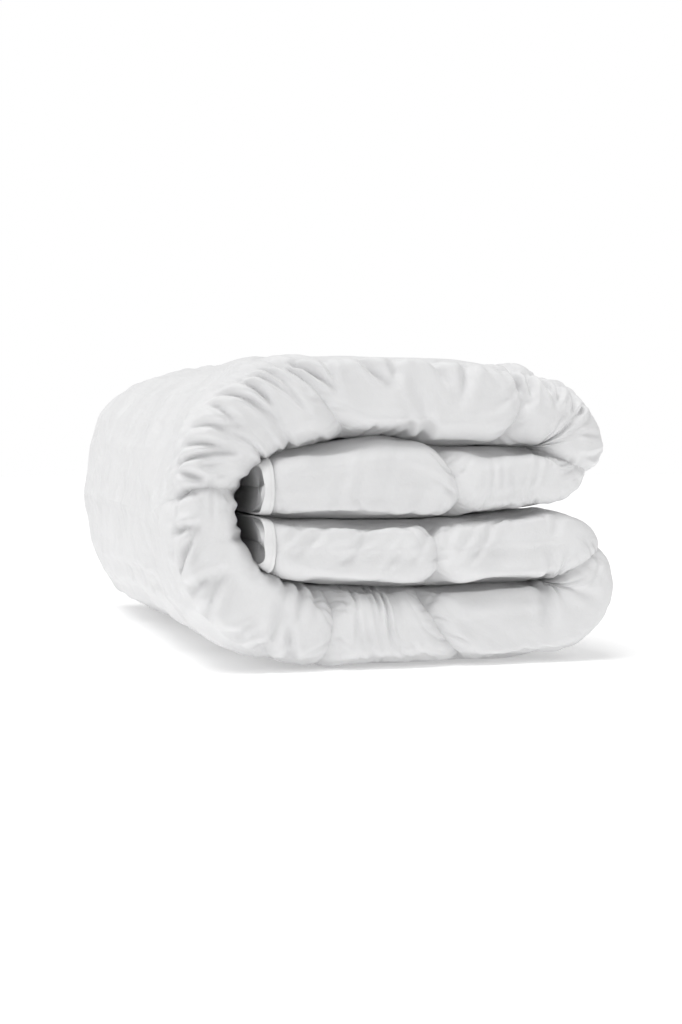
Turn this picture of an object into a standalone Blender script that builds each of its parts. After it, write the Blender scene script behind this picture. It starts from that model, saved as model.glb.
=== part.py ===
"""A thick quilted duvet, folded for storage.

The flat duvet is first folded in half, with that half fold at the front (-Y). The doubled
strip, called the ply here, then has both its ends turned in as flaps, and is closed like a
book. Seen from the front it runs: lower flap, fold, bottom ply, spine, top ply, fold, upper
flap. Metres, +Z up, origin on the floor under the middle of the folded duvet.
"""

import math

import bmesh
import bpy
from mathutils import Matrix, Vector

# The duvet laid flat
DUVET_WIDE = 2.60  # along the strip that wraps round the spine
DUVET_LONG = 2.20  # folded in half at the front
CHANNELS = 10  # filled channels across the width, between quilting seams
LOFT = 0.0575  # thickness of one layer of duvet
CLOTH = 0.0012  # cotton cloth, thickened to a sound solid
FILL = 0.036  # feather and down as they lie inside a channel
WALL = 0.0008  # baffle tape sewn between the two cloths
HEM = 0.003  # doubled cloth of the bound edge

# How it is folded
LEAF_GAP = 0.002  # between the two leaves of the half fold
EYE_RADIUS = 0.002  # inside the fold of each flap
BOOK_GAP = 0.004  # between the two flaps where the book closes
FLAP_SHORT = 0.030  # from a flap's hem to the inside of the spine
TAPER_RUN = 0.150  # over which a flap thins towards its hem
HEM_HEIGHT = 0.6  # of the ply's thickness, at the flap's hem

CLEARANCE = 0.0003  # between pieces that touch

# Facets
FOLD_STEPS = 8  # round the half fold
SLIT_STEPS = 4  # round the tight inside of the half fold
SPINE_STEPS = 5  # along the ply, round each half of the spine
FLAP_FOLD_STEPS = 8  # along the ply, round the fold of each flap
TAPER_STEPS = 6  # along the taper, so that no facet twists through the cloth
SHARP = math.radians(40)  # an edge that turns more than this is shaded sharp

# Worked out from the sizes above
PLY = 2 * LOFT + LEAF_GAP
FLAP_GAP = 2 * EYE_RADIUS
SPINE_INSIDE = BOOK_GAP / 2 + PLY + FLAP_GAP
SPINE_MIDDLE = SPINE_INSIDE + PLY / 2
SPINE_OUTSIDE = SPINE_INSIDE + PLY
FOLD_MIDDLE = EYE_RADIUS + PLY / 2
HEIGHT = 2 * SPINE_OUTSIDE
HALF_STRIP = DUVET_WIDE / 2
CHANNEL = DUVET_WIDE / CHANNELS
FLAP_PAST_SPINE = SPINE_INSIDE - FLAP_SHORT
BENDS = SPINE_MIDDLE * math.pi / 2 + FOLD_MIDDLE * math.pi
BOTTOM_RUN = (HALF_STRIP - BENDS - FLAP_PAST_SPINE) / 2
FLAP_RUN = BOTTOM_RUN + FLAP_PAST_SPINE
WIDTH = SPINE_OUTSIDE + BOTTOM_RUN + EYE_RADIUS + PLY
LEAF_MIDDLE = (LOFT + LEAF_GAP) / 2  # radius of a leaf's middle round the half fold
LEAF_RUN = (DUVET_LONG - math.pi * LEAF_MIDDLE) / 2
DEPTH = LEAF_RUN + PLY / 2
BACK = DEPTH / 2
FOLD_CENTRE = BACK - LEAF_RUN  # the half fold turns round this line
SPINE_X = SPINE_OUTSIDE - WIDTH / 2
FOLD_X = SPINE_X + BOTTOM_RUN

# Radii about the half fold, from the inside out
LINING_IN = LEAF_GAP / 2
LINING_OUT = LINING_IN + CLOTH
COVER_OUT = PLY / 2
COVER_IN = COVER_OUT - CLOTH
WALL_IN = LINING_OUT + CLEARANCE
WALL_OUT = COVER_IN - CLEARANCE
FILL_IN = (WALL_IN + WALL_OUT - FILL) / 2
FILL_OUT = FILL_IN + FILL

COTTON = ("cotton", (0.90, 0.90, 0.91), 0.85)
DOWN = ("down", (0.93, 0.92, 0.90), 1.0)
TAPE = ("tape", (0.86, 0.86, 0.86), 0.9)


def material(name, colour, roughness):
    """The shared material of that name, a plain cloth colour."""
    found = bpy.data.materials.get(name)
    if found:
        return found
    made = bpy.data.materials.new(name)
    made.use_nodes = True
    shader = made.node_tree.nodes["Principled BSDF"]
    shader.inputs["Base Color"].default_value = (*colour, 1)
    shader.inputs["Roughness"].default_value = roughness
    shader.inputs["Metallic"].default_value = 0
    return made


def bend_stations(centre, arm, first, radius, degrees, steps):
    """Where the ply changes direction in a bend: distance, point, and which way is outward.

    The arm points from the centre to the ply, and turns about -Y as the ply goes round.
    """
    found = []
    for step in range(steps + 1):
        angle = math.radians(degrees) * step / steps
        outward = Matrix.Rotation(angle, 3, (0, -1, 0)) @ arm
        found.append((first + radius * angle, centre + outward * radius, outward))
    return found


def path_stations():
    """The lower half of the ply's middle line, from the middle of the spine to the flap's hem."""
    spine_centre = Vector((SPINE_X, 0, SPINE_OUTSIDE))
    fold_centre = Vector((FOLD_X, 0, PLY + EYE_RADIUS))
    left, down, up = Vector((-1, 0, 0)), Vector((0, 0, -1)), Vector((0, 0, 1))
    fold_start = SPINE_MIDDLE * math.pi / 2 + BOTTOM_RUN
    hem = fold_centre + up * FOLD_MIDDLE + left * FLAP_RUN
    taper = hem - left * TAPER_RUN
    return [
        *bend_stations(spine_centre, left, 0.0, SPINE_MIDDLE, 90, SPINE_STEPS),
        *bend_stations(fold_centre, down, fold_start, FOLD_MIDDLE, 180, FLAP_FOLD_STEPS),
        *[
            (HALF_STRIP - TAPER_RUN * (1 - part / TAPER_STEPS), taper.lerp(hem, part / TAPER_STEPS), up)
            for part in range(TAPER_STEPS + 1)
        ],
    ]


def ring_at(distance, shift, section):
    """The section's corners at a distance along the ply, then shifted a little along it.

    Every piece bends at the same stations, so nested pieces keep their clearance. Towards the
    flap's hem the section is thinned, and keeps to the book's middle.
    """
    stations = path_stations()
    last = next(i for i in range(1, len(stations)) if distance <= stations[i][0] or i == len(stations) - 1)
    (from_here, point_a, out_a), (to_there, point_b, out_b) = stations[last - 1 : last + 1]
    part = (distance - from_here) / (to_there - from_here)
    point = point_a.lerp(point_b, part) + (point_b - point_a).normalized() * shift
    outward = out_a.lerp(out_b, part)
    tapered = max(0, distance + shift - (HALF_STRIP - TAPER_RUN)) / TAPER_RUN
    thin = 1 - (1 - HEM_HEIGHT) * tapered
    return [point + outward * (PLY / 2 - (PLY / 2 - n) * thin) + Vector((0, y, 0)) for y, n in section]


def hairpin(radius, steps, back=BACK):
    """Points (y, n) of a line that comes along one leaf, turns round the half fold and returns."""
    turn = [math.pi / 2 + math.pi * step / steps for step in range(steps + 1)]
    bend = [(FOLD_CENTRE + radius * math.cos(a), radius * math.sin(a)) for a in turn]
    return [(back, radius), *bend, (back, -radius)]


def doubled_section(inner, outer, steps=FOLD_STEPS, back=BACK):
    """The section of a layer that both leaves share, between two radii about the half fold."""
    return hairpin(outer, steps, back) + hairpin(inner, steps, back)[::-1]


def leaf_edge_section(side):
    """The section of the hem along the back of one leaf: side 1 is the outer leaf, -1 the inner."""
    low, high = BACK - HEM, BACK
    return [(low, side * WALL_OUT), (low, side * WALL_IN), (high, side * WALL_IN), (high, side * WALL_OUT)]


def swept(name, section, start, end, upper, finish):
    """A solid of that (y, n) section, swept along the ply from a seam to a seam.

    Each end is a distance from mid-spine and a small shift along the ply from there. n points
    out of the spiral. The upper half is the lower one mirrored in the book's plane.
    """
    mesh = bmesh.new()
    corner = mesh.verts.layers.int.new("corner")
    rings = [ring_at(*start, section)]
    rings += [ring_at(at, 0, section) for at, _, _ in path_stations() if start[0] < at < end[0]]
    rings.append(ring_at(*end, section))
    for index, place in enumerate(rings[0]):
        mesh.verts.new(place)[corner] = index
    first = cap = mesh.faces.new(mesh.verts)
    for ring in rings[1:]:
        moved = bmesh.ops.extrude_face_region(mesh, geom=[cap])["geom"]
        if cap is not first:
            mesh.faces.remove(cap)
        cap = next(item for item in moved if isinstance(item, bmesh.types.BMFace))
        for vert in cap.verts:
            vert.co = ring[vert[corner]]
    if upper:
        mirror = Matrix.Translation((0, 0, HEIGHT)) @ Matrix.Scale(-1, 4, (0, 0, 1))
        bmesh.ops.transform(mesh, matrix=mirror, verts=mesh.verts)
    bmesh.ops.recalc_face_normals(mesh, faces=mesh.faces)
    data = bpy.data.meshes.new(name)
    mesh.to_mesh(data)
    mesh.free()
    data.attributes.remove(data.attributes["corner"])
    data.shade_smooth()
    data.set_sharp_from_angle(angle=SHARP)
    data.materials.append(material(*finish))
    node = bpy.data.objects.new(name, data)
    duvet.objects.link(node)
    if upper:
        data.transform(Matrix.Translation(-book_fold.location))
        node.parent = book_fold


def channel_number(place, upper):
    """Channels are numbered from the upper flap's hem, 1, to the lower flap's hem."""
    half = CHANNELS // 2
    return half - place if upper else half + 1 + place


def make_covers(upper):
    """The cotton cover that shows, one panel between each two quilting seams."""
    section = doubled_section(COVER_IN, COVER_OUT)
    for place in range(CHANNELS // 2):
        start = (place * CHANNEL, CLEARANCE / 2)
        end = ((place + 1) * CHANNEL, -CLEARANCE / 2)
        swept(f"cover_panel_{channel_number(place, upper):02d}", section, start, end, upper, COTTON)


def make_fills(upper):
    """The feather and down, each held between two baffle walls, or a wall and the hem."""
    section = doubled_section(FILL_IN, FILL_OUT, back=BACK - HEM - CLEARANCE)
    off_wall = WALL / 2 + CLEARANCE
    for place in range(CHANNELS // 2):
        start = (place * CHANNEL, off_wall)
        end = ((place + 1) * CHANNEL, -off_wall)
        if place == 0:
            start = (0, CLEARANCE / 2 if upper else CLEARANCE / 2 + WALL + CLEARANCE)
        if place == CHANNELS // 2 - 1:
            end = (HALF_STRIP, -HEM - CLEARANCE)
        swept(f"down_fill_{channel_number(place, upper):02d}", section, start, end, upper, DOWN)


def make_baffles(upper):
    """The baffle walls, each named for the channel before it. The spine's is in the lower half."""
    section = doubled_section(WALL_IN, WALL_OUT, back=BACK - HEM - CLEARANCE)
    for place in range(1, CHANNELS // 2):
        number = channel_number(place if upper else place - 1, upper)
        start, end = (place * CHANNEL, -WALL / 2), (place * CHANNEL, WALL / 2)
        swept(f"baffle_wall_{number:02d}", section, start, end, upper, TAPE)
    if not upper:
        start, end = (0, CLEARANCE / 2), (0, CLEARANCE / 2 + WALL)
        swept(f"baffle_wall_{CHANNELS // 2:02d}", section, start, end, upper, TAPE)


def make_lining_and_hems(upper):
    """The cloth on the hidden side, between the two leaves, and the bound edges of this half."""
    half = "upper" if upper else "lower"
    start, end = (0, CLEARANCE / 2), (HALF_STRIP, -CLEARANCE / 2)
    lining = doubled_section(LINING_IN, LINING_OUT, steps=SLIT_STEPS)
    swept(f"reverse_cloth_{half}", lining, start, end, upper, COTTON)
    flap_hem = doubled_section(WALL_IN, WALL_OUT, back=BACK - HEM - CLEARANCE)
    swept(f"flap_hem_{half}", flap_hem, (HALF_STRIP, -HEM), end, upper, TAPE)
    for side, leaf in ((1, "outer"), (-1, "inner")):
        swept(f"back_hem_{half}_{leaf}", leaf_edge_section(side), start, end, upper, TAPE)


for leftover in list(bpy.data.objects):
    bpy.data.objects.remove(leftover)
duvet = bpy.data.collections.new("folded_duvet")
bpy.context.scene.collection.children.link(duvet)

# The upper half opens like a book's cover, about the outermost line of the spine.
book_fold = bpy.data.objects.new("book_fold", None)
book_fold.location = (SPINE_X - SPINE_OUTSIDE, 0, HEIGHT / 2)
duvet.objects.link(book_fold)
for is_upper in (True, False):
    make_covers(is_upper)
    make_fills(is_upper)
    make_baffles(is_upper)
    make_lining_and_hems(is_upper)
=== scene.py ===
"""A thick white box-quilted duvet, folded in half, its ends turned in and shut like a book."""

import math

import bmesh
import bpy
import numpy as np
from mathutils import Matrix, Vector


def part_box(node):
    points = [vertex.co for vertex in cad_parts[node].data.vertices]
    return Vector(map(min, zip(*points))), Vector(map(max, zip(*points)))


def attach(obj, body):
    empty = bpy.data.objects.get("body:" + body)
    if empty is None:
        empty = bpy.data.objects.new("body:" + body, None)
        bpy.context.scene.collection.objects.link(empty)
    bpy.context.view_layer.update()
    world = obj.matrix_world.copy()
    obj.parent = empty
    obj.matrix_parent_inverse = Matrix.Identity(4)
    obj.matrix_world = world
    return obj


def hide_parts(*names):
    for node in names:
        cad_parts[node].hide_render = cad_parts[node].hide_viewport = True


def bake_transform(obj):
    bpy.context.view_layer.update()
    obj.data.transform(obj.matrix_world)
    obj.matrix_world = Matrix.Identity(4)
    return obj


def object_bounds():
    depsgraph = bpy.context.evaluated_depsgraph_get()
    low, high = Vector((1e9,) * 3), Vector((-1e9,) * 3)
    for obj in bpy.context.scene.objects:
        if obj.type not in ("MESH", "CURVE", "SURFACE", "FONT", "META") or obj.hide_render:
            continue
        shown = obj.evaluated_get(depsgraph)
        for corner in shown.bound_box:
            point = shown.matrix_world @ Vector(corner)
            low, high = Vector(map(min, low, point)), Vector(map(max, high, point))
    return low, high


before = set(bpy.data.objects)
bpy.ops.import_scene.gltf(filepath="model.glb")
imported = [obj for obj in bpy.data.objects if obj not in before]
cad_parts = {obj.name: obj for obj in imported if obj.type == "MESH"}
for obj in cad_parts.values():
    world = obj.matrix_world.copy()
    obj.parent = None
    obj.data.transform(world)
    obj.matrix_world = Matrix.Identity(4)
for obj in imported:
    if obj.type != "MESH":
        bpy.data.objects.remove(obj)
cad_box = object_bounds()

# The camera. A normal lens at the height of the folded duvet's top, in front of its left corner
# and turned a little to the right, so that the front, the spine's side and no top show.

CAMERA_YAW = math.radians(15.8)
CAMERA_PITCH = math.radians(-2.1)
camera = bpy.data.objects.new("camera", bpy.data.cameras.new("camera"))
camera.data.sensor_width = 36
camera.data.lens = 54
camera.location = (-0.722, -2.762, 0.324)
aim = Vector(
    (
        math.sin(CAMERA_YAW) * math.cos(CAMERA_PITCH),
        math.cos(CAMERA_YAW) * math.cos(CAMERA_PITCH),
        math.sin(CAMERA_PITCH),
    )
)
camera.rotation_euler = aim.to_track_quat("-Z", "Y").to_euler()
bpy.context.scene.collection.objects.link(camera)
bpy.context.scene.camera = camera

# The studio. A plain white floor and an even white surround, with one wide soft light from above
# on the left that leaves a soft shadow where the duvet meets the floor.

FLOOR_SIDE = 40
FLOOR_GLOW = 0.2
SURROUND_LIGHT = 0.52  # the surround looks white, and lights the duvet with this much of it
KEY_FROM = (-0.32, -0.16, 1.0)
KEY_STRENGTH = 1.7
KEY_SPREAD = math.radians(38)
bpy.context.scene.view_settings.view_transform = "Standard"
floor_shape = bmesh.new()
bmesh.ops.create_grid(floor_shape, x_segments=1, y_segments=1, size=FLOOR_SIDE / 2)
floor_mesh = bpy.data.meshes.new("studio_floor")
floor_shape.to_mesh(floor_mesh)
floor_shape.free()
floor = bpy.data.objects.new("studio_floor", floor_mesh)
bpy.context.scene.collection.objects.link(floor)
floor_paint = bpy.data.materials.new("studio_white")
floor_paint.use_nodes = True
floor_finish = floor_paint.node_tree.nodes["Principled BSDF"].inputs
floor_finish["Base Color"].default_value = (0.97, 0.97, 0.97, 1)
floor_finish["Roughness"].default_value = 0.9
floor_finish["Emission Color"].default_value = (1, 1, 1, 1)
floor_finish["Emission Strength"].default_value = FLOOR_GLOW
floor_mesh.materials.append(floor_paint)

world = bpy.data.worlds.new("white_surround")
bpy.context.scene.world = world
world.use_nodes = True
surround = world.node_tree.nodes["Background"]
surround.inputs["Color"].default_value = (1, 1, 1, 1)
seen = world.node_tree.nodes.new("ShaderNodeLightPath")
level = world.node_tree.nodes.new("ShaderNodeMapRange")
level.inputs["To Min"].default_value = SURROUND_LIGHT
level.inputs["To Max"].default_value = 1.0
world.node_tree.links.new(seen.outputs["Is Camera Ray"], level.inputs["Value"])
world.node_tree.links.new(level.outputs["Result"], surround.inputs["Strength"])

key_light = bpy.data.lights.new("key_light", "SUN")
key_light.energy = KEY_STRENGTH
key_light.angle = KEY_SPREAD
key = bpy.data.objects.new("key_light", key_light)
key.location = KEY_FROM
key.rotation_euler = Vector(KEY_FROM).to_track_quat("Z", "Y").to_euler()
bpy.context.scene.collection.objects.link(key)


# The fold. The duvet is 2600 x 2200 mm of down-proof cotton, quilted in 260 mm squares. A place on
# it is told by two distances: along the strip from the middle of the spine, and across it from the
# half fold, where more than 0 is the outer leaf. The boxes of the solids give the fold's sizes.

HALF_STRIP = 1.300
HALF_LENGTH = 1.100
SQUARE = 0.260
FRONT_SEAM = 0.060  # the nearest cross seam, on the outer leaf above the half fold
SEAM_DRIFT = [0, 0.045, 0, -0.09, -0.02, -0.04, 0.04, -0.05, 0, -0.012, 0]  # of each seam, in front
SEAM_SLANT = [0, 0.2, 0, -0.1, 0.8, 0.25, -0.1, 0.5, 0, 0.06, 0]
DRIFT_REACH = 0.17  # the seams run straight further than this from the half fold
ROUNDNESS = 2.4  # of the half fold: 2 is round, more is squarer
FACING_SQUARENESS = 0.55  # the flaps are this much squarer where they face each other
FOLD_CROWN = 0.005  # the half fold swells this much further than the solids
SPINE_ROUNDNESS = 2.3, 2.75  # in front and at the back
BACK_LOFT = 0.034  # the pile is this much higher at the back, on the spine's side
HEM_WIDE = 0.014
HALF_HEM = 0.0015  # a leaf is closed to twice this at its hem
LINING_OFF = 0.001  # between the lining and the ply's middle
BACK_CLOSING = 0.055  # each leaf thins to its back hem over this
FLAP_FORWARD = 0.009  # the lower flap has slid this far forward
FLAP_GAP = 0.003  # between the end of a flap and the inside of the spine above it

flap_low, flap_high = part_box("cover_panel_10")
top = cad_box[1].z
left = cad_box[0].x
back = cad_box[1].y
front = cad_box[0].y
ply = flap_high.z - flap_low.z
half_ply = ply / 2
eye = flap_low.z - ply
spine_radius = top / 2 - half_ply
spine_x = left + top / 2
fold_radius = (ply + eye) / 2
fold_x = cad_box[1].x - fold_radius - half_ply
spine_length = spine_radius * math.pi / 2
fold_start = spine_length + fold_x - spine_x
fold_end = fold_start + fold_radius * math.pi
fold_line = front + half_ply  # the half fold turns round this

turn = np.linspace(0, math.pi / 2, 400)
turn_n = np.sin(turn) ** (2 / ROUNDNESS)
turn_y = np.cos(turn) ** (2 / ROUNDNESS)
turn_run = np.concatenate([[0], np.cumsum(np.hypot(np.diff(turn_n), np.diff(turn_y)))])
turn_length = half_ply * turn_run[-1]
leaf_stretch = (back - fold_line) / (HALF_LENGTH - turn_length)
leaf_middle = half_ply / 2 + LINING_OFF / 2


def smooth(low, high, value):
    """0 below low, 1 above high, and an S between."""
    part = np.clip((value - low) / (high - low), 0, 1)
    return part * part * (3 - 2 * part)


def eased(value, marks, levels):
    """Levels at the marks, with an S between neighbours."""
    levels = np.asarray(levels, dtype=float)
    at = np.clip(np.searchsorted(marks, value, side="right") - 1, 0, len(marks) - 2)
    return levels[at] + (levels[at + 1] - levels[at]) * smooth(marks[at], marks[at + 1], value)


def drifted(s, v):
    """The seams wander near the half fold, where the layers slid over each other."""
    seams = np.arange(-5, 6) * SQUARE
    near = np.exp(-((v / DRIFT_REACH) ** 2))
    return s + eased(s, seams, SEAM_DRIFT) * near + eased(s, seams, SEAM_SLANT) * v * near


def across_fold(s, v, inward):
    """How far a place is off its ply's middle, and where it is from front to back."""
    run = np.abs(s)
    away = np.abs(v)
    across = np.clip(away, 0, turn_length) / half_ply
    n = half_ply * np.interp(across, turn_run, turn_n)
    facing = (v > 0) * smooth(fold_start, fold_end, run)
    n = n + (half_ply - n) * FACING_SQUARENESS * facing * smooth(0.02, 0.08, away)
    y = fold_line - half_ply * np.interp(across, turn_run, turn_y)
    y -= FOLD_CROWN * np.cos(np.clip(away / turn_length, 0, 1) * math.pi / 2)
    y += np.clip(away - turn_length, 0, None) * leaf_stretch
    y -= FLAP_FORWARD * smooth(fold_start, fold_end, s) * smooth(0.3, 0.05, away)

    # Each leaf closes at its back hem, and its lining lies beside the ply's middle.
    closing = np.clip((away - HALF_LENGTH + HEM_WIDE + BACK_CLOSING) / BACK_CLOSING, 0, 1)
    open_part = np.sqrt(1 - closing**2)
    n = np.where(closing > 0, leaf_middle + HALF_HEM + (n - leaf_middle - HALF_HEM) * open_part, n)
    lining = leaf_middle - HALF_HEM - (leaf_middle - HALF_HEM - LINING_OFF) * open_part
    n = n + (lining - n) * inward
    y = y + np.clip(half_ply - 0.004 - (y - front), 0, None) * inward
    n = n * np.sign(v)

    # The flaps thin towards their ends, where the inside of the spine leaves less room.
    past = np.clip(run - (fold_end + fold_x - spine_x), 0, 0.12)
    room = np.sqrt((spine_radius - half_ply) ** 2 - past**2) - FLAP_GAP
    return half_ply - (half_ply - n) * np.minimum(1, room / ply), y


def wound(s, n):
    """Where the strip runs: round the spine, along the ply, round the flap's fold and back."""
    run = np.abs(s)
    angle = np.clip(run, 0, spine_length) / spine_radius
    bend = np.clip(run - fold_start, 0, fold_end - fold_start) / fold_radius
    straight = np.clip(run - spine_length, 0, fold_start - spine_length)
    x = spine_x - spine_radius * np.cos(angle) + straight + fold_radius * np.sin(bend)
    x = x - np.clip(run - fold_end, 0, None)
    z = top / 2 - spine_radius * np.sin(angle) + fold_radius * (1 - np.cos(bend))
    x = x + n * np.where(run < spine_length, -np.cos(angle), np.sin(bend))
    z = z + n * np.where(run < spine_length, -np.sin(angle), -np.cos(bend))
    return x, np.where(s < 0, top - z, z)


def squared(x, y, z):
    """The spine is squarer than a half circle, and more so at the back."""
    dx, dz = np.minimum(x - spine_x, 0), z - top / 2
    reach = np.hypot(dx, dz) + 1e-9
    power = SPINE_ROUNDNESS[0] + (SPINE_ROUNDNESS[1] - SPINE_ROUNDNESS[0]) * smooth(front, back, y)
    squarer = (np.abs(dx / reach) ** power + np.abs(dz / reach) ** power) ** (-1 / power)
    grown = 1 + (squarer - 1) * smooth(top / 4, top / 2, reach)
    return np.where(dx < 0, spine_x + dx * grown, x), np.where(dx < 0, top / 2 + dz * grown, z)


# How the pile sags: each row is x, then the heights of the floor side, three gaps and the top.
SAG = np.array(
    [
        [-0.245, 0.000, 0.119, 0.236, 0.358, 0.482],
        [-0.154, 0.000, 0.128, 0.227, 0.338, 0.485],
        [-0.017, 0.000, 0.120, 0.224, 0.356, 0.487],
        [0.100, 0.000, 0.119, 0.227, 0.339, 0.485],
        [0.190, 0.002, 0.123, 0.236, 0.339, 0.474],
        [0.270, 0.008, 0.123, 0.244, 0.338, 0.457],
        [0.350, 0.012, 0.124, 0.246, 0.336, 0.448],
    ]
).T
plain_heights = np.array([0, ply + eye / 2, top / 2, top - ply - eye / 2, top])


def settled(x, y, z):
    """The pile as it lies: it sags to the right, leans there, and is lofty at the back."""
    marks = np.stack([eased(x, SAG[0], level) for level in SAG[1:]])
    gap = np.clip(np.searchsorted(plain_heights, z) - 1, 0, 3)
    below = np.take_along_axis(marks, gap[None], 0)[0]
    above = np.take_along_axis(marks, gap[None] + 1, 0)[0]
    low, high = plain_heights[gap], plain_heights[gap + 1]
    z = below + (above - below) * (z - low) / (high - low)
    x = x + (0.006 - 0.022 * smooth(0.20, 0.27, z)) * smooth(0.1, 0.3, x)
    return x, y, z * (1 + BACK_LOFT * smooth(front, 0.6 * back, y) * smooth(0.05, -0.22, x))


def folded(s, v, inward=0.0):
    """Where a place on the duvet is, folded. Inward takes the cloth towards the lining, 0 to 1."""
    s = drifted(s, v)
    n, y = across_fold(s, v, inward)
    x, z = wound(s, n)
    x, z = squared(x, y, z)
    return np.stack(settled(x, y, z), -1)


def outward(s, v):
    """Which way the cloth faces at a place on the duvet."""
    step = 0.002
    along = folded(s + step, v) - folded(s - step, v)
    across = folded(s, v + step) - folded(s, v - step)
    face = np.cross(across, along)
    return face / (np.linalg.norm(face, axis=-1, keepdims=True) + 1e-12)


# The quilted channels. Each is a strip of cotton over down, 260 mm wide, sewn to its neighbours
# along its sides and stitched across every 260 mm. Air and down swell the cloth between the seams,
# so it is blown up as cloth with its seams held, and its growth buckles into puckers beside them.

CHANNELS = 10
CLOTH_STEP = 0.0065
FINE_REACH = 0.2  # the cloth is finer this near the half fold
FAR_ROWS = 90
SIM_FRAMES = 20
MOST_GROWTH = 0.25
MOST_MOVE = 0.0015, 0.0130  # where another ply presses, and where nothing does
SEAM_REACH = 0.040  # how far from a seam the cloth is drawn in
STITCH_REACH = 0.009  # how far the thread's own pinch goes
CROSS_SHARE = 0.8  # a cross seam draws in this much of what a lengthwise one does
FLAP_SLIDE = 0.055  # the first cross seam has slid this far round the half fold on the flaps
PLUMP = 0.0015  # the cloth swells this much past the solids between seams
CONTACT_SWELL = 0.0032, 0.120, 0.03  # the plies bulge against each other: how far, where, how widely
WALL_GAP = 0.004  # the wall leans this far into its own channel near the half fold
WALL_RINGS = 9


def seam_distances(s, v):
    """How far a place is from the nearest seam along the duvet, and from the nearest across."""
    beside = np.abs((s + SQUARE / 2) % SQUARE - SQUARE / 2)
    slid = FRONT_SEAM + FLAP_SLIDE * smooth(fold_start, fold_end, np.abs(s))
    across = np.abs((v - slid + SQUARE / 2) % SQUARE - SQUARE / 2)
    return beside, across


def freedom(s, v):
    """1 where nothing lies on the cloth, 0 where another ply, or the floor, presses on it."""
    run = np.abs(s)
    rounding = smooth(0.13, 0.07, np.abs(v))
    outside = (v > 0) * smooth(fold_end + 0.03, fold_end - 0.06, run)
    floor_side = (s > 0) * smooth(0.20, 0.30, run) * smooth(fold_start + 0.03, fold_start - 0.03, run)
    return np.maximum(rounding, outside * (1 - floor_side))


def drawn_in(s, v):
    """How deep the seams draw the cloth in, less what the plies swell against each other."""
    beside, across = seam_distances(s, v)
    rounding = smooth(0.14, 0.05, np.abs(v))
    spine = smooth(0.42, 0.30, np.abs(s)) * (v > 0)
    free = freedom(s, v)
    depth = 0.003 + 0.005 * free - 0.006 * spine * free * (1 - rounding) + 0.004 * rounding
    near_beside = np.clip(1 - beside / SEAM_REACH, 0, 1) ** 2
    near_across = CROSS_SHARE * np.clip(1 - across / SEAM_REACH, 0, 1) ** 2
    near = np.maximum(near_beside, near_across)
    wide_beside = np.clip(1 - beside * 2 / SQUARE, 0, 1)
    wide_across = CROSS_SHARE * np.clip(1 - across * 2 / SQUARE, 0, 1)
    wide = np.maximum(wide_beside, wide_across) ** 2
    pinch = 0.001 + 0.002 * free * (1 - spine)
    stitched = (pinch + 0.005 * rounding) * np.exp(-beside / STITCH_REACH)
    stitched += (pinch + 0.002 * rounding) * np.exp(-across / STITCH_REACH)
    swell, swell_at, swell_wide = CONTACT_SWELL
    bulge = swell * np.exp(-(((np.abs(v) - swell_at) / swell_wide) ** 2))
    return depth * (0.6 * near + 0.4 * wide) + stitched - PLUMP - bulge


near_rows = np.arange(0, FINE_REACH, CLOTH_STEP)
far_rows = np.linspace(FINE_REACH, HALF_LENGTH, FAR_ROWS)
rows = np.concatenate([-far_rows[::-1], -near_rows[:0:-1], near_rows, far_rows])
columns = round(SQUARE / CLOTH_STEP)


def laid(number):
    """A channel's cover as a sheet laid on the fold, and the places and points of its corners."""
    shape = bmesh.new()
    place = shape.verts.layers.float_vector.new("place")
    bmesh.ops.create_grid(shape, x_segments=columns, y_segments=len(rows) - 1, size=0.5)
    flat = np.array([vert.co[:2] for vert in shape.verts])
    s = (number - CHANNELS / 2 - 1) * SQUARE + (flat[:, 0] + 0.5) * SQUARE
    v = rows[np.rint((flat[:, 1] + 0.5) * (len(rows) - 1)).astype(int)]
    points = folded(s, v) - outward(s, v) * drawn_in(s, v)[:, None]
    for vert, point, along, across in zip(shape.verts, points, s, v):
        vert.co = point
        vert[place] = (along, across, 0)
    mesh = bpy.data.meshes.new(f"quilted_channel_{number:02d}")
    shape.to_mesh(mesh)
    shape.free()
    sheet = bpy.data.objects.new(mesh.name, mesh)
    bpy.context.scene.collection.objects.link(sheet)
    return sheet, s, v, points


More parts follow.
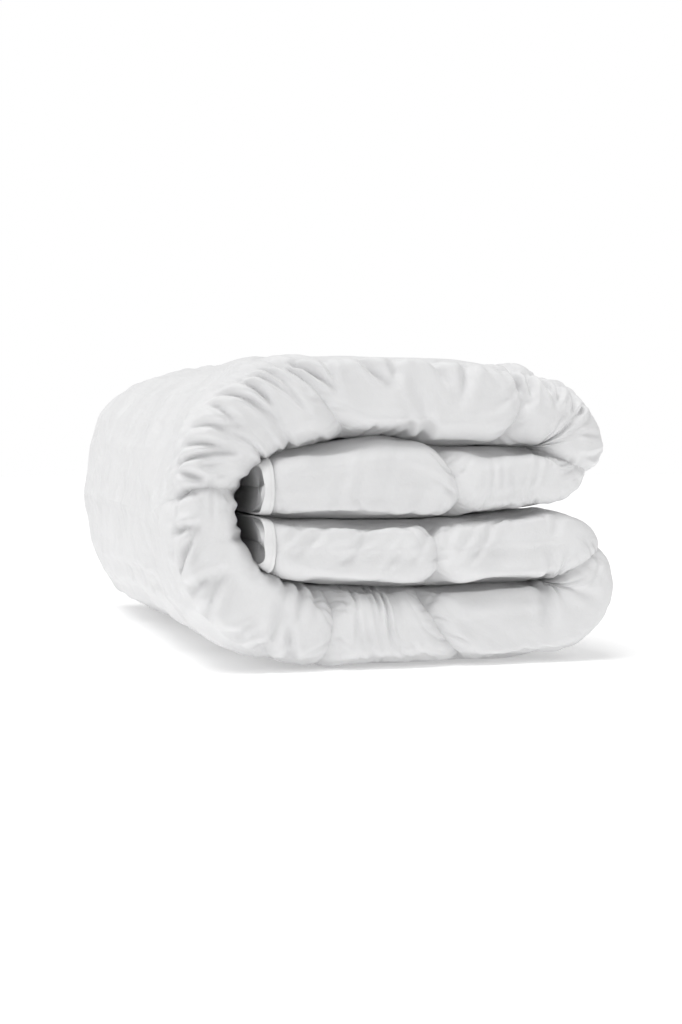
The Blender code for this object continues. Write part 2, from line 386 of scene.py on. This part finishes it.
def blow_up(sheet, s, v):
    """Gives a sheet its air: the seams and edges are held, and the cloth beside seams grows."""
    beside, across = seam_distances(s, v)
    run = np.abs(s)
    seam = (beside < 0.001) | (across < 0.004)
    edge = (np.abs(v) > HALF_LENGTH - 0.03) | (run > HALF_STRIP - 0.02)
    hold = sheet.vertex_groups.new(name="held")
    hold.add(np.nonzero(seam | edge)[0].tolist(), 1.0, "REPLACE")
    growth = sheet.vertex_groups.new(name="growth")
    bent = np.clip(half_ply / np.where(run < fold_start, spine_radius, fold_radius), 0, 1) * (v < 0)
    bent = bent * ((run < spine_length) | ((run > fold_start) & (run < fold_end)))
    amount = 0.03 + 0.10 * np.exp(-np.minimum(beside, across) / 0.025) + 0.20 * bent
    amount *= np.maximum(freedom(s, v), 0.25)
    for index, value in enumerate(amount):
        growth.add([index], float(min(1, value / MOST_GROWTH)), "REPLACE")

    cloth = sheet.modifiers.new("swell", "CLOTH")
    settings = cloth.settings
    settings.quality = 5
    settings.mass = 0.15
    settings.vertex_group_mass = "held"
    settings.vertex_group_shrink = "growth"
    settings.shrink_min = 0.0
    settings.shrink_max = -MOST_GROWTH
    settings.use_pressure = True
    settings.uniform_pressure_force = 1.5
    settings.tension_stiffness = 15
    settings.compression_stiffness = 15
    settings.shear_stiffness = 5
    settings.bending_stiffness = 0.02
    settings.effector_weights.gravity = 0
    cloth.collision_settings.use_collision = False
    cloth.collision_settings.use_self_collision = False
    cloth.point_cache.frame_start = 1
    cloth.point_cache.frame_end = SIM_FRAMES


sheets = []
for number in range(1, CHANNELS + 1):
    sheet, s, v, points = laid(number)
    blow_up(sheet, s, v)
    sheets.append((sheet, number, s, v, points))

for moment in range(1, SIM_FRAMES + 1):
    bpy.context.scene.frame_set(moment)
depsgraph = bpy.context.evaluated_depsgraph_get()
swollen = {}
for sheet, number, s, v, points in sheets:
    found = np.empty(len(points) * 3)
    sheet.evaluated_get(depsgraph).data.vertices.foreach_get("co", found)
    swollen[number] = found.reshape(-1, 3)
for sheet, number, s, v, points in sheets:
    move = swollen[number] - points
    length = np.linalg.norm(move, axis=1)
    most = MOST_MOVE[0] + (MOST_MOVE[1] - MOST_MOVE[0]) * freedom(s, v)
    move *= (most * np.tanh(length / most) / np.maximum(length, 1e-9))[:, None]
    sheet.modifiers.clear()
    sheet.data.vertices.foreach_set("co", (points + move).ravel())
    sheet.data.update()
bpy.context.scene.frame_set(1)

# Creases in the cotton: a line on the flat duvet from one place to another, its depth and width.
# A crease is a sharp little valley between two soft ridges, deepest near its start.
MOST_RIDGE = 0.0045  # no ridge beside a crease stands out further
SEAM_PUCKERS = 0.022  # between the puckers along a seam
RING_LINES = 300
LUMPS = 14
LUMP_HIGH = 0.0007
chance = np.random.default_rng(7)
creases = []


def pucker(s0, v0, s1, v1, depth, width):
    """Notes a crease from one place to another."""
    creases.append((s0, v0, s1, v1, depth, width))


# Short puckers stand along every seam.
for seam in np.arange(-4, 5) * SQUARE:
    for v in np.arange(0.02 - HALF_LENGTH, HALF_LENGTH - 0.02, SEAM_PUCKERS):
        for way in (-1, 1):
            in_front = math.exp(-((v / 0.10) ** 2))
            reach = chance.uniform(0.015, 0.055)
            slope = chance.normal(0, 0.4 + 0.4 * in_front)
            at = v + chance.normal(0, 0.007)
            deep = chance.uniform(0.0005, 0.0022) * (1 + 0.9 * in_front)
            wide = chance.uniform(0.003, 0.006)
            pucker(seam, at, seam + way * reach, at + slope * reach, deep, wide)
for seam in FRONT_SEAM + SQUARE * np.arange(-4, 4):
    for s in np.arange(0.03 - HALF_STRIP, HALF_STRIP - 0.03, SEAM_PUCKERS):
        for way in (-1, 1):
            reach = chance.uniform(0.015, 0.055)
            slope = chance.normal(0, 0.4)
            at = s + chance.normal(0, 0.007)
            deep = chance.uniform(0.0005, 0.0022)
            wide = chance.uniform(0.003, 0.006)
            pucker(at, seam, at + slope * reach, seam + way * reach, deep, wide)

# Where the duvet bends, the inner leaf crowds into folds that run out over the half fold. Each bend
# is where it starts and ends, the gap between its folds, and their depth.
BENDS = (
    (-0.42, 0.42, 0.030, 0.008),
    (fold_start, fold_end, 0.018, 0.007),
    (-fold_end, -fold_start, 0.018, 0.007),
)
for low, high, gap, depth in BENDS:
    s = low
    while s < high:
        s += gap * chance.uniform(0.4, 1.7)
        end = chance.uniform(-0.05, 0.06)
        tip = s + chance.normal(0, 0.020)
        deep = depth * chance.uniform(0.15, 1.3)
        pucker(s, -0.15, tip, end, deep, chance.uniform(0.005, 0.010))

# From the cross seam just above the half fold hang pleats, two creases that meet in a point.
TOP_PLEATS = [-0.76, -0.71, -0.643, -0.575, -0.533, -0.418, -0.363, -0.288]
LAST_SHARP_PLEAT = -0.68  # those further along the top ply are shallow
for s in np.concatenate([TOP_PLEATS, np.arange(-0.225, 0.23, 0.055)]):
    s += chance.normal(0, 0.006)
    fall = chance.uniform(0.055, 0.095)
    half_width = chance.uniform(0.012, 0.024)
    tip = s + chance.normal(0, 0.012)
    for way in (-1, 1):
        deep = chance.uniform(0.010, 0.017) * (1 if s > LAST_SHARP_PLEAT else 0.35)
        wide = chance.uniform(0.0055, 0.008)
        pucker(s + way * half_width, FRONT_SEAM, tip, FRONT_SEAM - fall, deep, wide)
    tip = s + chance.normal(0, 0.01)
    pucker(s, FRONT_SEAM, tip, FRONT_SEAM + fall * 0.6, chance.uniform(0.002, 0.004), 0.006)

# Long slack wrinkles run aslant over the fronts of the flaps and the bottom ply. Each stretch is
# where it starts and ends, how far the wrinkles slant, and their depth.
SLACK = ((0.87, 1.27, 0.075, 0.0045), (-1.25, -0.9, 0.04, 0.0032), (0.30, 0.66, -0.05, 0.0030))
for low, high, slant, depth in SLACK:
    s = low
    while s < high:
        s += chance.uniform(0.02, 0.045)
        start = chance.uniform(0.03, 0.08)
        tip = s + slant * chance.uniform(0.6, 1.4)
        end = start - chance.uniform(0.05, 0.13)
        deep = depth * chance.uniform(0.4, 1.2)
        pucker(s, start, tip, end, deep, chance.uniform(0.005, 0.009))

# Fine tight lines run round the outside of the spine.
for _ in range(RING_LINES):
    v = chance.uniform(0.08, HALF_LENGTH - 0.06)
    s = chance.uniform(-0.55, 0.15)
    deep = chance.uniform(0.0006, 0.0020)
    tip = s + chance.uniform(0.12, 0.40)
    pucker(s, v, tip, v + chance.normal(0, 0.010), deep, chance.uniform(0.004, 0.007))

# Lumps of down: each one's length, and the way and phase of its wave.
lumps = []
for _ in range(LUMPS):
    lumps.append((chance.uniform(0.06, 0.14), chance.uniform(0, math.tau), chance.uniform(0, math.tau)))


def creased(s, v):
    """How far the creases and the lumps of down stand out from the plain cloth."""
    height = np.zeros_like(s)
    for length, way, phase in lumps:
        height += LUMP_HIGH * np.sin((s * math.cos(way) + v * math.sin(way)) * math.tau / length + phase)
    for s0, v0, s1, v1, depth, width in creases:
        if max(s0, s1) < s.min() - 0.05 or min(s0, s1) > s.max() + 0.05:
            continue
        line = np.array([s1 - s0, v1 - v0])
        length = np.hypot(*line)
        near = (np.abs(v - (v0 + v1) / 2) < abs(line[1]) / 2 + 4 * width) & (
            np.abs(s - (s0 + s1) / 2) < abs(line[0]) / 2 + 4 * width
        )
        if not near.any():
            continue
        ds, dv = s[near] - s0, v[near] - v0
        along = (ds * line[0] + dv * line[1]) / length**2
        aside = np.abs(dv * line[0] - ds * line[1]) / length / width
        part = np.clip(along, 0, 1)
        rise = np.sin(math.pi * part**0.6)
        ridge = 0.45 * np.exp(-(((aside - 1.7) / 0.8) ** 2))
        height[near] += depth * rise * (ridge - np.exp(-(aside**1.5)))
    return np.where(height > 0, MOST_RIDGE * np.tanh(height / MOST_RIDGE), height)


def shut(mesh, number):
    """Closes a channel with its walls and its lining."""
    shape = bmesh.new()
    shape.from_mesh(mesh)
    place = shape.verts.layers.float_vector["place"]
    rim = [edge for edge in shape.edges if edge.is_boundary]
    made = bmesh.ops.extrude_edge_only(shape, edges=rim)["geom"]
    inner_rim = [piece for piece in made if isinstance(piece, bmesh.types.BMEdge)]
    for piece in made:
        if isinstance(piece, bmesh.types.BMVert):
            along, across = piece[place].x, piece[place].y
            piece[place] = (along, across, 1)
            piece.co = (along, across, 0)  # laid flat, so that the sides are bridged straight across
    sides = [e for e in inner_rim if abs(e.verts[0][place].x - e.verts[1][place].x) < 1e-5]
    bridged = bmesh.ops.bridge_loops(shape, edges=sides)
    rungs = [e for e in bridged["edges"] if abs(e.verts[0][place].x - e.verts[1][place].x) > 0.1]
    bmesh.ops.subdivide_edges(shape, edges=rungs, cuts=WALL_RINGS)
    lining = [vert for vert in shape.verts if vert[place].z > 0.5]
    spot = np.array([tuple(vert[place])[:2] for vert in lining])
    middle = (number - CHANNELS / 2 - 1) * SQUARE + SQUARE / 2
    lean = 1 - 2 * WALL_GAP / SQUARE * (0.1 + 0.9 * smooth(0.5, 0.25, np.abs(spot[:, 1])))
    within = folded(middle + (spot[:, 0] - middle) * lean, spot[:, 1], 1.0)
    for vert, point in zip(lining, within):
        vert.co = point
    bmesh.ops.holes_fill(shape, edges=[e for e in shape.edges if e.is_boundary], sides=0)
    bmesh.ops.recalc_face_normals(shape, faces=shape.faces)
    if shape.calc_volume(signed=True) < 0:
        bmesh.ops.reverse_faces(shape, faces=shape.faces)
    for face in shape.faces:
        face.smooth = True
    for edge in rim:
        edge.smooth = False
    shape.to_mesh(mesh)
    shape.free()


for sheet, *_ in sheets:
    softer = sheet.modifiers.new("softer", "SUBSURF")
    softer.levels = 1
    softer.render_levels = 1
depsgraph = bpy.context.evaluated_depsgraph_get()
finer = [bpy.data.meshes.new_from_object(sheet.evaluated_get(depsgraph)) for sheet, *_ in sheets]
for (sheet, number, *_), mesh in zip(sheets, finer):
    sheet.modifiers.clear()
    sheet.data = mesh
    mesh.name = sheet.name
    sheet.vertex_groups.clear()
    places = np.empty(len(mesh.vertices) * 3)
    mesh.attributes["place"].data.foreach_get("vector", places)
    s, v, _ = places.reshape(-1, 3).T
    spots = np.empty(len(mesh.vertices) * 3)
    mesh.vertices.foreach_get("co", spots)
    rise = creased(s, v) * (0.3 + 0.7 * freedom(s, v)) * smooth(0, 0.03, HALF_STRIP - np.abs(s))
    spots += (outward(s, v) * rise[:, None]).ravel()
    mesh.vertices.foreach_set("co", spots)
    shut(mesh, number)


class Reading:
    """A node's output, on which sums make Math nodes."""

    def __init__(self, paint, output):
        self.paint, self.output = paint, output

    def math(self, operation, first, second):
        return self.paint.node("ShaderNodeMath", {"operation": operation}, {0: first, 1: second})

    def __add__(self, other):
        return self.math("ADD", self, other)

    def __mul__(self, other):
        return self.math("MULTIPLY", self, other)

    def __sub__(self, other):
        return self.math("SUBTRACT", self, other)

    def __rsub__(self, other):
        return self.math("SUBTRACT", other, self)

    __radd__ = __add__
    __rmul__ = __mul__


class Paint:
    """A material, with one way to add a node: its type, its settings, and its sockets' values.

    A ramp's setting is its stops, each a position and a colour.
    """

    def __init__(self, name, **plain):
        self.material = bpy.data.materials.new(name)
        self.material.use_nodes = True
        self.nodes = self.material.node_tree.nodes
        self.shader = self.nodes["Principled BSDF"]
        for socket, value in plain.items():
            self.shader.inputs[socket.replace("_", " ")].default_value = value

    def node(self, kind, settings, sockets, output=0):
        made = self.nodes.new(kind)
        for setting, value in settings.items():
            if setting == "stops":
                for stop, (at, colour) in zip(made.color_ramp.elements, value):
                    stop.position, stop.color = at, colour
            else:
                setattr(made, setting, value)
        for socket, value in sockets.items():
            if isinstance(value, Reading):
                self.material.node_tree.links.new(value.output, made.inputs[socket])
            else:
                made.inputs[socket].default_value = value
        return Reading(self, made.outputs[output])

    def feed(self, socket, reading):
        self.material.node_tree.links.new(reading.output, self.shader.inputs[socket])


# Cotton percale: a tight plain weave of fine thread with a slight dry sheen, cockled all over by
# washing, a little greyer where the down shows through. The weave follows the cloth's own threads.

THREADS = math.tau / 0.0011
percale = Paint("white_percale", Sheen_Weight=0.12, Sheen_Roughness=0.4, Specular_IOR_Level=0.32)
own_place = percale.node("ShaderNodeAttribute", {"attribute_name": "place"}, {}, "Vector")
along_thread = percale.node("ShaderNodeSeparateXYZ", {}, {0: own_place})
across_thread = Reading(percale, along_thread.output.node.outputs["Y"])
warp = percale.node("ShaderNodeMath", {"operation": "SINE"}, {0: along_thread * THREADS})
weft = percale.node("ShaderNodeMath", {"operation": "SINE"}, {0: across_thread * THREADS})
slub_space = percale.node("ShaderNodeMapping", {}, {"Vector": own_place, "Scale": (900, 90, 1)})
slubs = percale.node("ShaderNodeTexNoise", {}, {"Vector": slub_space, "Scale": 1.0, "Detail": 2.0})
cockle = percale.node(
    "ShaderNodeTexNoise", {}, {"Vector": own_place, "Scale": 95.0, "Detail": 4.0, "Distortion": 0.8}
)
soft_spots = percale.node("ShaderNodeTexNoise", {}, {"Vector": own_place, "Scale": 11.0, "Detail": 3.0})
shade = percale.node(
    "ShaderNodeValToRGB",
    {"stops": ((0.30, (0.785, 0.785, 0.790, 1)), (0.70, (0.835, 0.835, 0.838, 1)))},
    {0: soft_spots * 0.7 + slubs * 0.3},
)
percale.feed("Base Color", shade)
percale.feed("Roughness", 0.50 + cockle * 0.12 + slubs * 0.04)
grain = percale.node(
    "ShaderNodeBump",
    {},
    {"Strength": 0.35, "Distance": 0.0002, "Height": warp * weft + slubs * 0.6},
)
dimpled = percale.node(
    "ShaderNodeBump",
    {},
    {"Strength": 0.45, "Distance": 0.0022, "Height": cockle, "Normal": grain},
)
percale.feed("Normal", dimpled)

inner_cloths = {5: "reverse_cloth_upper", 6: "reverse_cloth_lower"}
for sheet, number, *_ in sheets:
    sheet.data.materials.clear()
    sheet.data.materials.append(percale.material)
    gone = [f"cover_panel_{number:02d}", f"down_fill_{number:02d}"]
    if number < CHANNELS:
        gone.append(f"baffle_wall_{number:02d}")
    if number in inner_cloths:
        gone.append(inner_cloths[number])
    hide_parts(*gone)
    if number in inner_cloths:
        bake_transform(sheet)
    else:
        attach(sheet, "upper_half" if number < 5 else "lower_half")


# The hems. The cotton's raw edges are turned under twice, a flat band 14 mm wide that is sewn down
# with white thread: along the end of each flap, round the half fold, and along each leaf's back.

HEM_THICK = 0.0034
STITCH_LONG = 0.0030
STITCH_EVERY = 0.0042
STITCH_BATCH = 40  # few at a time are quicker to make
THREAD_WIDE = 0.0005
THREAD_HIGH = 0.0004
HEM_SUNK = 0.03  # how far a flap's hem lies towards the lining, 0 to 1
hem_cloth = Paint("turned_hem_cotton", Sheen_Weight=0.1, Specular_IOR_Level=0.3)
hem_place = hem_cloth.node("ShaderNodeTexCoord", {}, {}, "Object")
hem_weave = hem_cloth.node("ShaderNodeTexNoise", {}, {"Vector": hem_place, "Scale": 420.0, "Detail": 3.0})
hem_cockle = hem_cloth.node("ShaderNodeTexNoise", {}, {"Vector": hem_place, "Scale": 80.0, "Detail": 3.0})
hem_shade = hem_cloth.node(
    "ShaderNodeValToRGB",
    {"stops": ((0, (0.79, 0.79, 0.79, 1)), (1, (0.86, 0.86, 0.86, 1)))},
    {0: hem_cockle},
)
hem_cloth.feed("Base Color", hem_shade)
hem_cloth.feed("Roughness", 0.55 + hem_weave * 0.15)
hem_relief = hem_cloth.node(
    "ShaderNodeBump",
    {},
    {"Strength": 0.5, "Distance": 0.0012, "Height": hem_cockle + hem_weave * 0.3},
)
hem_cloth.feed("Normal", hem_relief)
thread = Paint("sewing_thread", Sheen_Weight=0.1, Specular_IOR_Level=0.4)
thread_place = thread.node("ShaderNodeTexCoord", {}, {}, "Object")
twist = thread.node("ShaderNodeTexWave", {}, {"Vector": thread_place, "Scale": 900.0})
thread_shade = thread.node(
    "ShaderNodeValToRGB",
    {"stops": ((0, (0.74, 0.74, 0.74, 1)), (1, (0.84, 0.84, 0.84, 1)))},
    {0: twist},
)
thread.feed("Base Color", thread_shade)
thread.feed("Roughness", 0.5 + twist * 0.1)

# Round the flat band: how far in from its edge, and how far out from the middle of its thickness.
turned = np.linspace(0, math.tau, 24, endpoint=False)
band_in = -HEM_WIDE / 2 + np.sign(np.cos(turned)) * np.abs(np.cos(turned)) ** 0.35 * (HEM_WIDE / 2 + 0.001)
band_out = np.sign(np.sin(turned)) * np.abs(np.sin(turned)) ** 0.6 * HEM_THICK / 2


def flap_spot(end, depth):
    """Places on the hem of a flap, at either end of the strip."""

    def spot(run, inside, out):
        wave = 0.0012 * np.sin(run * 41 + end) + 0.0008 * np.sin(run * 97 + 2 * end)
        s = end * (HALF_STRIP + inside + wave * (inside > -HEM_WIDE / 2))
        rumpled = out + 0.0006 * np.sin(run * 63 + 9 * inside)
        return folded(s, run, depth) + outward(s, run) * rumpled[..., None]

    return spot


def leaf_spot(side):
    """Places on the hem along the back of a leaf."""

    def spot(run, inside, out):
        v = side * (HALF_LENGTH + inside)
        return folded(run, v, 0.5) + outward(run, np.full_like(run, side * 0.9)) * out[..., None]

    return spot


def stitched(shape, marks, spot):
    """Sews a row of stitches through a hem, so that they show on both of its faces."""
    count = int((marks[-1] - marks[0]) / STITCH_EVERY)
    at = np.linspace(marks[0] + 0.004, marks[-1] - 0.004, count)
    for way in (1, -1):
        inside = np.full(count, 0.004 - HEM_WIDE)
        out = np.full(count, way * HEM_THICK / 2)
        middles = spot(at, inside, out)
        ends = spot(at + 0.001, inside, out) - middles
        rises = spot(at, inside, out * 2) - middles
        for first in range(0, count, STITCH_BATCH):
            few = bmesh.new()
            batch = slice(first, first + STITCH_BATCH)
            for middle, along, rise in zip(middles[batch], ends[batch], rises[batch]):
                along, rise = Vector(along).normalized(), Vector(rise).normalized()
                aside = along.cross(rise).normalized()
                lie = Matrix((along * STITCH_LONG / 2, aside * THREAD_WIDE, rise * THREAD_HIGH))
                lie = lie.transposed().to_4x4()
                lie.translation = middle
                bmesh.ops.create_icosphere(few, subdivisions=1, radius=1, matrix=lie)
            for face in few.faces:
                face.material_index = 1
                face.smooth = True
            some = bpy.data.meshes.new("stitches")
            few.to_mesh(some)
            few.free()
            shape.from_mesh(some)
            bpy.data.meshes.remove(some)


def hem(name, marks, spot, replaced, bodies):
    """A turned hem with its row of stitches, and the solids that it stands for."""
    shape = bmesh.new()
    bmesh.ops.create_grid(shape, x_segments=len(turned), y_segments=len(marks) - 1, size=0.5)
    flat = np.array([vert.co[:2] for vert in shape.verts]) + 0.5
    ring = np.rint(flat[:, 0] * len(turned)).astype(int) % len(turned)
    run = marks[np.rint(flat[:, 1] * (len(marks) - 1)).astype(int)]
    for vert, point in zip(shape.verts, spot(run, band_in[ring], band_out[ring])):
        vert.co = point
    bmesh.ops.remove_doubles(shape, verts=shape.verts, dist=1e-6)
    bmesh.ops.holes_fill(shape, edges=[edge for edge in shape.edges if edge.is_boundary], sides=0)
    for face in shape.faces:
        face.smooth = True
    stitched(shape, marks, spot)
    bmesh.ops.recalc_face_normals(shape, faces=shape.faces)
    mesh = bpy.data.meshes.new(name)
    shape.to_mesh(mesh)
    shape.free()
    piece = bpy.data.objects.new(name, mesh)
    bpy.context.scene.collection.objects.link(piece)
    mesh.materials.append(hem_cloth.material)
    mesh.materials.append(thread.material)
    if replaced:
        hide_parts(*replaced)
    if len(bodies) == 2:
        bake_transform(piece)
    else:
        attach(piece, bodies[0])


round_fold = rows[np.abs(rows) < HALF_LENGTH - 0.004]
hem("sewn_flap_hem_upper", round_fold, flap_spot(-1, HEM_SUNK), ["flap_hem_upper"], ["upper_half"])
hem("sewn_flap_hem_lower", round_fold, flap_spot(1, HEM_SUNK), ["flap_hem_lower"], ["lower_half"])
upper_run = np.arange(-HALF_STRIP, -SQUARE + 0.001, 0.01)
spine_run = np.arange(-SQUARE, SQUARE + 0.001, 0.01)
runs = {"upper": upper_run, "lower": -upper_run[::-1]}
for leaf, side in (("outer", 1), ("inner", -1)):
    for half, run in runs.items():
        name = f"back_hem_{half}_{leaf}"
        hem(f"sewn_{name}", run, leaf_spot(side), [name], [f"{half}_half"])
    hem(f"sewn_back_hem_spine_{leaf}", spine_run, leaf_spot(side), [], ["lower_half", "upper_half"])
